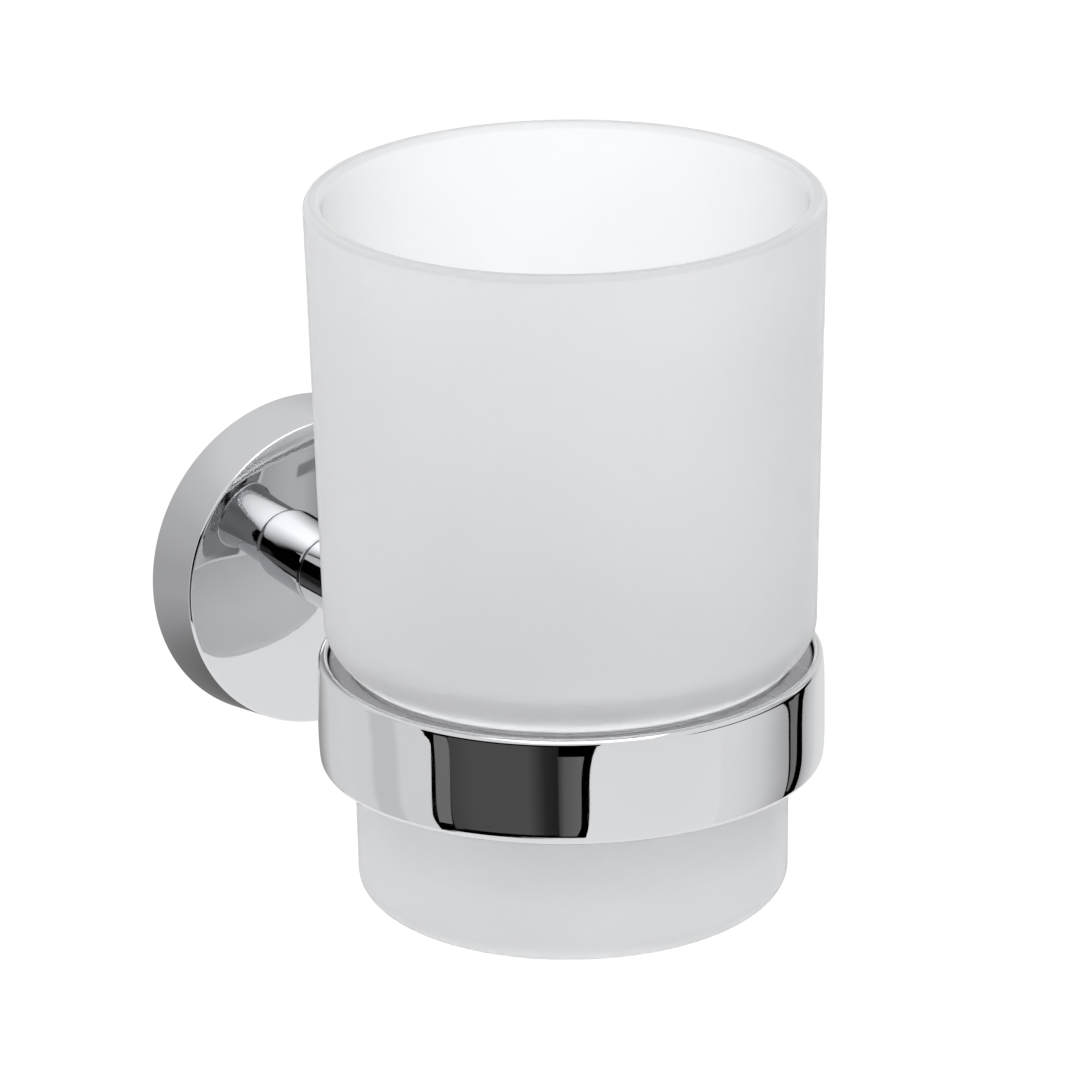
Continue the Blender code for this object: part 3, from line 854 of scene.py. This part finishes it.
class HOLDER_OT_screws(bpy.types.Operator):
    """Dress the screws and the washer"""

    bl_idname = "holder.screws"
    bl_label = "Screws"

    def grub(self, finish):
        """Set screw with a six-sided socket."""
        radius, low, high = GRUB_HIGH.x, GRUB_LOW.z, GRUB_HIGH.z
        profile = [
            (0.0, low),
            (radius - SCREW_CHAMFER / 2, low),
            (radius, low + SCREW_CHAMFER / 2),
            (radius, high - SCREW_CHAMFER),
            (radius - SCREW_CHAMFER, high),
            (0.0, high),
        ]
        screw = turned("set_screw", profile, GRUB_AXIS, finish.small_segments, closed=False)
        socket = [
            (0.0, low - CUT_OVERRUN),
            (SOCKET_RADIUS, low - CUT_OVERRUN),
            (SOCKET_RADIUS, low + SOCKET_DEPTH),
            (0.0, low + SOCKET_DEPTH + SOCKET_TIP),
        ]
        cut_away(screw, [turned("set_screw_socket", socket, GRUB_AXIS, segments=6, closed=False)])
        dress(screw, screw_steel(finish), "grub_screw", "grub_screw")

    def execute(self, context):
        finish = context.scene.holder_finish
        self.grub(finish)
        steel = screw_steel(finish)
        for name in ("ring_screw", "arm_bolt", "lock_washer"):
            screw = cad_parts[name]
            if not screw.material_slots:
                screw.data.materials.append(steel)
            for slot in screw.material_slots:
                slot.material = steel
        return {"FINISHED"}


# Stage

FLOOR_SEGMENTS = 96
# Tones of the floor where it lights the object and where it is seen, and its glow there.
FLOOR_TONE, FLOOR_SEEN_TONE, FLOOR_GLOW = 0.8, 0.3, 0.75
# Painted shade in deep reflections: the surroundings darken by this share with each mirror past the
# clear ones, which dims the reflections between the plated parts.
CLEAR_MIRRORS = 2
PAINTED_SHADE_PER_MIRROR = 0.4
# Lamps: name, place, size, the setting that holds the brightness, and whether metal mirrors it.
LAMP_AIM = Vector((0.0, -0.06, 0.03))
LAMPS = (
    ("overhead_lamp", (-0.15, -0.45, 1.25), (1.1, 1.1), "overhead_glow", True),
    ("back_lamp", (0.75, 1.1, 0.75), (1.2, 1.2), "back_glow", False),
    ("through_lamp", (0.8, 1.15, -0.35), (0.7, 0.9), "through_glow", False),
    ("left_lamp", (-1.4, 0.7, 0.5), (1.2, 1.2), "left_glow", False),
    ("right_lamp", (1.4, -0.5, 0.4), (1.0, 1.2), "right_glow", False),
)
SENSOR_WIDTH = 36.0
CLIP_START, CLIP_END = 0.05, 60.0

# Cards that only the metal mirrors. Each has a name, a layer (higher is nearer) and stops from left
# to right: an edge, as (elevation, angle) pairs in degrees seen from the cup's ring, and its tone.
# Angles count from the camera's side to the right.
UPRIGHT_LOW, UPRIGHT_HIGH = -40.0, 36.0


def upright(angle):
    """Straight edge of a card, as (elevation, angle) pairs."""
    return ((UPRIGHT_LOW, angle), (UPRIGHT_HIGH, angle))


def uprights(*stops):
    """Stops of a card with straight edges, from (angle, tone) pairs."""
    return tuple((upright(angle), tone) for angle, tone in stops)


FLAG_LEFT = (
    (-40.0, -63.0),
    (-34.7, -64.6),
    (-26.0, -67.2),
    (-20.0, -66.0),
    (-14.5, -65.1),
    (-12.0, -68.5),
    (17.0, -70.0),
)
FLAG_RIGHT = (
    (-40.0, 4.0),
    (-36.3, 4.9),
    (-27.2, 6.8),
    (-21.0, 7.5),
    (-18.1, 8.1),
    (-12.7, 9.3),
    (-4.6, 11.8),
    (17.0, 12.5),
)
FLAG_INNER_RIGHT = ((-31.0, 1.6), (-26.5, 3.5), (-21.0, 3.8), (-18.8, 4.3), (-14.2, 5.2))
SIDE_LEFT = (
    (-40.0, 116.0),
    (-27.0, 116.3),
    (-21.0, 115.4),
    (-18.3, 114.0),
    (-15.9, 111.8),
    (-13.0, 108.0),
    (-11.5, 104.0),
    (-8.0, 90.0),
    (-5.0, 57.0),
    (4.0, 50.0),
)
SIDE_RIGHT = (
    (-40.0, 124.0),
    (-28.3, 126.5),
    (-24.2, 127.6),
    (-21.5, 128.5),
    (-17.2, 127.7),
    (-14.9, 130.8),
    (4.0, 134.0),
)
SIDE_STRIP_LEFT = ((-26.5, 117.6), (-21.0, 117.0), (-18.3, 115.8), (-14.5, 113.0))
SIDE_STRIP_RIGHT = ((-26.5, 119.4), (-23.6, 121.3), (-21.0, 122.8), (-15.7, 122.3), (-14.5, 123.5))
FLAG_PANEL = (
    (((-30.0, -56.5), (-6.0, -56.0)), 0.075),
    (((-30.0, -45.0), (-6.0, -45.0)), 0.1),
    (((-30.0, -20.0), (-6.0, -20.0)), 0.1),
    (((-30.0, -12.0), (-6.0, -12.0)), 0.03),
    (((-30.0, -6.0), (-6.0, -6.0)), 0.02),
)
FLAG_EDGE = (
    (((-31.0, -6.5), (-14.2, -6.5)), 0.05),
    (((-31.0, -4.0), (-14.2, -3.5)), 0.13),
    (FLAG_INNER_RIGHT, 0.18),
)
FLAG_STRIP = (
    (((-28.0, -64.3), (-10.0, -63.2)), 0.21),
    (((-28.0, -57.3), (-16.0, -55.9), (-10.0, -56.5)), 0.21),
)
SIDE_SHADE = uprights((70.0, 1.0), (82.0, 0.97), (95.0, 0.86), (110.0, 0.58), (116.5, 0.5))
BACK_RIGHT_SHADE = uprights(
    (127.5, 0.5), (135.0, 0.72), (146.0, 0.9), (156.0, 0.9), (165.0, 0.82), (176.0, 0.7)
)
LEFT_SHADE = uprights(
    (-175.0, 0.3),
    (-160.0, 0.4),
    (-142.0, 0.82),
    (-124.0, 0.9),
    (-104.0, 0.9),
    (-100.0, 0.76),
    (-87.0, 0.76),
    (-83.0, 0.9),
    (-66.0, 0.9),
)
CARDS = (
    ("front_flag", 0, ((FLAG_LEFT, 0.0), (FLAG_RIGHT, 0.0))),
    ("front_flag_panel", 1, FLAG_PANEL),
    ("front_flag_edge", 1, FLAG_EDGE),
    ("front_flag_strip", 1, FLAG_STRIP),
    ("side_shade", 0, SIDE_SHADE),
    ("side_flag", 1, ((SIDE_LEFT, 0.0), (SIDE_RIGHT, 0.0))),
    ("side_flag_strip", 2, ((SIDE_STRIP_LEFT, 0.2), (SIDE_STRIP_RIGHT, 0.22))),
    ("back_right_shade", 0, BACK_RIGHT_SHADE),
    ("left_shade", -1, LEFT_SHADE),
)
# Card seen only past the clear mirrors, so it darkens the ring's back and not its front.
DEEP_WINDOW = ((((-18.5, 135.0), (-15.4, 135.0)), 0.41), (((-18.5, 150.5), (-15.4, 150.0)), 0.41))
# Distance between layers, widest piece of a card in degrees, and levels from bottom to top.
LAYER_STEP = 0.01
CARD_STEP = 3.0
CARD_LEVELS = 24
# Board behind the plate: where it stands, its right edge, how far off it shows, its pale left edge,
# and the height, tone and left edge of each row, from the bottom up.
PANEL_DEPTH, PANEL_RIGHT, PANEL_REACH = 0.02, 0.06, 0.056
PANEL_EDGE, PANEL_EDGE_TONE = 0.006, 0.9
PANEL_ROWS = (
    (-0.045, 0.15, -0.044),
    (-0.037, 0.19, -0.044),
    (-0.0307, 0.26, -0.044),
    (-0.0231, 0.4, -0.05),
    (-0.0128, 0.5, -0.058),
    (-0.0006, 0.5, -0.06),
    (0.0123, 0.58, -0.062),
    (0.0195, 0.6, -0.062),
    (0.0285, 0.68, -0.062),
    (0.036, 0.735, -0.062),
    (0.044, 0.876, -0.062),
    (0.06, 0.9, -0.062),
)
# Shell behind the glass: (height, share of the tone) rows and (degrees from +X, tone) columns.
SHELL_RADIUS = 0.0338
SHELL_ROWS = (
    (0.0075, 0.5),
    (0.009, 0.7),
    (0.012, 0.85),
    (0.018, 0.95),
    (0.022, 1.0),
    (0.034, 1.0),
    (0.038, 0.6),
)
SHELL_COLUMNS = (
    (30.0, 0.3),
    (55.0, 0.7),
    (68.0, 1.3),
    (84.0, 2.2),
    (102.0, 2.3),
    (113.0, 1.7),
    (126.0, 0.87),
    (138.0, 0.1),
    (146.0, 0.0),
)
# Ring of light under the shoulder: its height, and (radius, tone) of its edges.
SHOULDER_HEIGHT = 0.0068
SHOULDER_EDGES = ((0.0319, 3.4), (0.0296, 1.9))
SHOULDER_STEPS = 96


def path(tree, output):
    """One value of the Light Path node."""
    return new_node(tree, "ShaderNodeLightPath", {}).outputs[output]


def back_side(tree):
    """1 on the back of a face, 0 on its front."""
    return new_node(tree, "ShaderNodeNewGeometry", {}).outputs["Backfacing"]


def before_mirrors(tree):
    """1 for rays that met fewer mirrors than the clear ones, 0 for the others."""
    return calculated(tree, "LESS_THAN", path(tree, "Glossy Depth"), CLEAR_MIRRORS - 0.5)


def painted_mirror_shade(tree, level):
    """Level darkened by painted shade with each mirror past the clear ones."""
    past = calculated(tree, "SUBTRACT", path(tree, "Glossy Depth"), CLEAR_MIRRORS)
    fade = calculated(tree, "POWER", PAINTED_SHADE_PER_MIRROR, calculated(tree, "MAXIMUM", past, 0.0))
    return calculated(tree, "MULTIPLY", level, fade)


def seen_rays(tree):
    """1 for rays from the camera, off metal and through glass."""
    direct = calculated(tree, "MAXIMUM", path(tree, "Is Camera Ray"), path(tree, "Is Glossy Ray"))
    return calculated(tree, "MAXIMUM", direct, path(tree, "Is Transmission Ray"))


def flat_emission(name, clear_where=None):
    """Plain light for a card, its tone read from the mesh, and clear where the value is 1."""
    material = bpy.data.materials.new(name)
    material.use_nodes = True
    tree = material.node_tree
    tree.nodes.clear()
    tone = new_node(tree, "ShaderNodeAttribute", {}, attribute_name="tone").outputs["Color"]
    # Painted shade: the card's light darkens with each mirror past the clear ones.
    inputs = {"Color": tone, "Strength": painted_mirror_shade(tree, 1.0)}
    surface = shader(tree, "ShaderNodeEmission", inputs)
    if clear_where:
        clear = shader(tree, "ShaderNodeBsdfTransparent", {})
        surface = mixed(tree, clear_where(tree), surface, clear)
    new_node(tree, "ShaderNodeOutputMaterial", {"Surface": surface})
    return material


class HOLDER_OT_stage(bpy.types.Operator):
    """Set up the floor, the lights, the cards that the metal mirrors and the camera"""

    bl_idname = "holder.stage"
    bl_label = "Stage"

    def floor_finish(self):
        """White to the camera and in the metal, keeps the shadow, and is clear from below."""
        material = bpy.data.materials.new("pale_floor")
        material.use_nodes = True
        tree = material.node_tree
        tree.nodes.clear()
        matt = shader(tree, "ShaderNodeBsdfDiffuse", {"Color": grey(FLOOR_TONE)})
        pale = shader(tree, "ShaderNodeBsdfDiffuse", {"Color": grey(FLOOR_SEEN_TONE)})
        # Painted shade: the floor's glow darkens with each mirror past the clear ones.
        light = shader(tree, "ShaderNodeEmission", {"Strength": painted_mirror_shade(tree, FLOOR_GLOW)})
        seen = shader(tree, "ShaderNodeAddShader", {0: pale, 1: light})
        top = mixed(tree, seen_rays(tree), matt, seen)
        surface = mixed(tree, back_side(tree), top, shader(tree, "ShaderNodeBsdfTransparent", {}))
        new_node(tree, "ShaderNodeOutputMaterial", {"Surface": surface})
        return material

    def floor(self, sizes):
        """Round pale floor, facing up."""
        mesh = bmesh.new()
        bmesh.ops.create_circle(mesh, cap_ends=True, segments=FLOOR_SEGMENTS, radius=sizes.floor_radius)
        mesh.normal_update()
        bmesh.ops.reverse_faces(mesh, faces=[face for face in mesh.faces if face.normal.z < 0.0])
        bmesh.ops.translate(mesh, verts=mesh.verts, vec=(0.0, 0.0, -sizes.floor_drop))
        data = bpy.data.meshes.new("studio_floor")
        mesh.to_mesh(data)
        mesh.free()
        data.materials.append(self.floor_finish())
        linked("studio_floor", data)

    def sky(self, scene, sizes):
        """Even light from all round, white where it is seen."""
        world = bpy.data.worlds.new("studio_air")
        world.use_nodes = True
        tree = world.node_tree
        tree.nodes.clear()
        plain = {"Color": grey(1.0), "Strength": sizes.sky}
        # Painted shade: the white that is seen darkens with each mirror past the clear ones.
        white = {"Color": grey(1.0), "Strength": painted_mirror_shade(tree, 1.0)}
        lit, seen = (shader(tree, "ShaderNodeBackground", inputs) for inputs in (plain, white))
        new_node(tree, "ShaderNodeOutputWorld", {"Surface": mixed(tree, seen_rays(tree), lit, seen)})
        scene.world = world

    def lamp(self, name, place, size, glow, mirrored):
        """Soft rectangular lamp that faces the cup and has the given brightness."""
        light = bpy.data.lights.new(name, "AREA")
        light.shape = "RECTANGLE"
        light.size, light.size_y = size
        light.energy = glow * math.pi * size[0] * size[1]
        lamp = linked(name, light)
        lamp.location = place
        lamp.rotation_mode = "QUATERNION"
        lamp.rotation_quaternion = (LAMP_AIM - Vector(place)).to_track_quat("-Z", "Y")
        lamp.visible_camera = False
        lamp.visible_glossy = mirrored

    def glow_card(self, name, rows, material, seen_by="glossy"):
        """Card that one kind of ray sees. Each row is a list of (place, tone) from left to right."""
        mesh = bmesh.new()
        tone_layer = mesh.verts.layers.float_color.new("tone")
        verts = []
        for row in rows:
            line = []
            for place, tone in row:
                vert = mesh.verts.new(place)
                vert[tone_layer] = grey(tone)
                line.append(vert)
            verts.append(line)
        for low, high in zip(verts, verts[1:]):
            for index in range(len(low) - 1):
                mesh.faces.new((low[index], low[index + 1], high[index + 1], high[index]))
        data = bpy.data.meshes.new(name)
        mesh.to_mesh(data)
        mesh.free()
        data.materials.append(material)
        card = linked(name, data)
        for rays in ("camera", "diffuse", "glossy", "transmission", "volume_scatter", "shadow"):
            setattr(card, "visible_" + rays, rays == seen_by)

    def card(self, sizes, name, layer, stops, material):
        """Curved card round the cup, its tone blended from stop to stop."""
        radius = sizes.card_distance - layer * LAYER_STEP
        camera_side = sizes.camera_azimuth - math.radians(90.0)
        lowest = max(min(elevation for elevation, _ in edge) for edge, _ in stops)
        highest = min(max(elevation for elevation, _ in edge) for edge, _ in stops)
        widest = max(abs(right[0][1] - left[0][1]) for (left, _), (right, _) in zip(stops, stops[1:]))
        pieces = math.ceil(widest / CARD_STEP)
        rows = []
        for rise in shares(CARD_LEVELS):
            elevation = lowest + (highest - lowest) * rise
            height = radius * math.tan(math.radians(elevation))
            marks = [(self.angle_at(edge, elevation), tone) for edge, tone in stops]
            row = []
            for start, end in zip(marks, marks[1:]):
                for share in shares(pieces)[:-1]:
                    row.append([a + (b - a) * share for a, b in zip(start, end)])
            row.append(marks[-1])
            turns = [(math.radians(angle) + camera_side, tone) for angle, tone in row]
            rows.append([(self.round_cup(radius, turn, height), tone) for turn, tone in turns])
        self.glow_card(name, rows, material)

    def angle_at(self, edge, elevation):
        """Angle of a card's edge at an elevation."""
        for (low, first), (high, second) in zip(edge, edge[1:]):
            if elevation <= high:
                return first + (second - first) * (elevation - low) / (high - low)
        return edge[-1][1]

    def round_cup(self, radius, turn, height):
        """Place at a turn from +X round the cup's axis."""
        return CUP_AXIS @ Vector((radius * math.cos(turn), radius * math.sin(turn), height))

    def wall_panel(self):
        """Shaded board close behind the plate, which only the plate's side mirrors."""
        rows = []
        for height, tone, left in PANEL_ROWS:
            sides = ((left, PANEL_EDGE_TONE), (left + PANEL_EDGE, tone), (PANEL_RIGHT, tone))
            rows.append([(Vector((side, PANEL_DEPTH, height)), shade) for side, shade in sides])

        def far(tree):
            return calculated(tree, "GREATER_THAN", path(tree, "Ray Length"), PANEL_REACH)

        self.glow_card("wall_panel", rows, flat_emission("near_tone", far))

    def glass_glow(self):
        """Shell behind the glass that gives the arm its bright reflection, past the clear mirrors."""
        rows = []
        for height, share in SHELL_ROWS:
            row = []
            for degrees, tone in SHELL_COLUMNS:
                row.append((self.round_cup(SHELL_RADIUS, math.radians(degrees), height), tone * share))
            rows.append(row)

        def hidden(tree):
            return calculated(tree, "MAXIMUM", back_side(tree), before_mirrors(tree))

        self.glow_card("glass_glow", rows, flat_emission("glow_tone", hidden))

    def shoulder_glow(self):
        """Ring of soft light on the liner that lifts the shade under the shoulder of the glass."""
        turns = [2.0 * math.pi * share for share in shares(SHOULDER_STEPS)]
        rows = []
        for radius, tone in SHOULDER_EDGES:
            rows.append([(self.round_cup(radius, turn, SHOULDER_HEIGHT), tone) for turn in turns])
        self.glow_card("shoulder_glow", rows, flat_emission("shoulder_tone", back_side), "diffuse")

    def camera(self, scene, sizes):
        """Camera at the photograph's place."""
        data = bpy.data.cameras.new("studio_camera")
        data.sensor_width = SENSOR_WIDTH
        data.lens = sizes.focal_length
        data.clip_start, data.clip_end = CLIP_START, CLIP_END
        camera = linked("studio_camera", data)
        turn = Matrix.Rotation(sizes.camera_azimuth, 4, "Z")
        tip = Matrix.Rotation(math.radians(90.0) - sizes.camera_elevation, 4, "X")
        roll = Matrix.Rotation(sizes.camera_roll, 4, "Z")
        back = Matrix.Translation((0.0, 0.0, sizes.camera_distance))
        camera.matrix_world = Matrix.Translation(sizes.camera_aim) @ turn @ tip @ roll @ back
        scene.camera = camera

    def execute(self, context):
        scene = context.scene
        sizes = scene.holder_stage
        self.floor(sizes)
        self.sky(scene, sizes)
        for name, place, size, setting, mirrored in LAMPS:
            self.lamp(name, place, size, getattr(sizes, setting), mirrored)
        self.camera(scene, sizes)
        self.wall_panel()
        self.glass_glow()
        self.shoulder_glow()
        plain = flat_emission("card_tone")
        for name, layer, stops in CARDS:
            self.card(sizes, name, layer, stops, plain)
        deep = flat_emission("deep_tone", before_mirrors)
        self.card(sizes, "back_right_window", 1, DEEP_WINDOW, deep)
        return {"FINISHED"}


class HOLDER_PT_panel(bpy.types.Panel):
    """List of the holder's pieces"""

    bl_idname = "HOLDER_PT_panel"
    bl_label = "Toothbrush holder"
    bl_space_type = "VIEW_3D"
    bl_region_type = "UI"
    bl_category = "Holder"

    def draw(self, context):
        for operator in OPERATORS:
            self.layout.operator(operator.bl_idname)


OPERATORS = (
    HOLDER_OT_tumbler,
    HOLDER_OT_ring,
    HOLDER_OT_arm,
    HOLDER_OT_rosette,
    HOLDER_OT_bracket,
    HOLDER_OT_screws,
    HOLDER_OT_stage,
)
SETTINGS = {
    "holder_tumbler": TumblerSettings,
    "holder_ring": RingSettings,
    "holder_arm": ArmSettings,
    "holder_rosette": RosetteSettings,
    "holder_finish": FinishSettings,
    "holder_stage": StageSettings,
}


def register():
    """Make the settings, the operators and the panel known to Blender."""
    for name, group in SETTINGS.items():
        bpy.utils.register_class(group)
        setattr(bpy.types.Scene, name, PointerProperty(type=group))
    for operator in OPERATORS:
        bpy.utils.register_class(operator)
    bpy.utils.register_class(HOLDER_PT_panel)


def unregister():
    """Take them out again."""
    bpy.utils.unregister_class(HOLDER_PT_panel)
    for operator in reversed(OPERATORS):
        bpy.utils.unregister_class(operator)
    for name, group in reversed(SETTINGS.items()):
        delattr(bpy.types.Scene, name)
        bpy.utils.unregister_class(group)


def main():
    """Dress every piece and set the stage."""
    register()
    bpy.ops.holder.tumbler()
    bpy.ops.holder.ring()
    bpy.ops.holder.arm()
    bpy.ops.holder.rosette()
    bpy.ops.holder.bracket()
    bpy.ops.holder.screws()
    bpy.ops.holder.stage()
    scene = bpy.context.scene
    scene.view_settings.view_transform = "Standard"


if __name__ == "__main__":
    main()
